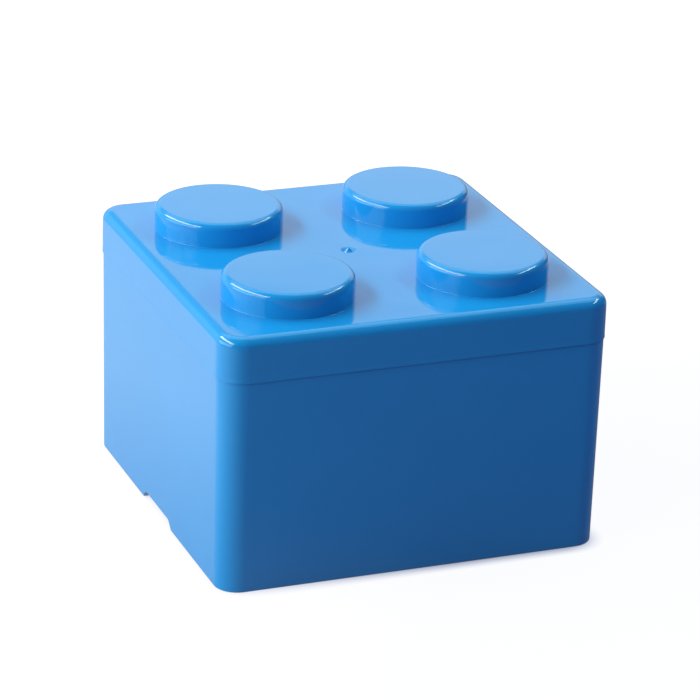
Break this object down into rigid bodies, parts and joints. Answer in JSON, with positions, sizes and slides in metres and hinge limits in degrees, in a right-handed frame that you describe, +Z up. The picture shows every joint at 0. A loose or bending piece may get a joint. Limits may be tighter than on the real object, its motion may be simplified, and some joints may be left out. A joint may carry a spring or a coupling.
{
  "type": "stacking storage box",
  "caption": "Square plastic storage box shaped like a toy building block, with a lift-off lid whose round studs locate the next box in a stack.",
  "frame": {"origin": "centre of the base, on the surface that the box stands on", "axes": "+Z up, -Y the front, +X the right; the finger notches are in the left and right sides"},
  "size_m": [0.0988, 0.0988, 0.0706],
  "materials": {
    "blue_plastic": "glossy moulded plastic"
  },
  "bodies": {
    "box": {"box": "blue_plastic"},
    "lid": {"lid": "blue_plastic"}
  },
  "joints": [
    {"name": "lid_lift", "type": "slide", "parent": "box", "child": "lid", "axis": [0, 0, 1], "range_m": [0, 0.1]}
  ]
}
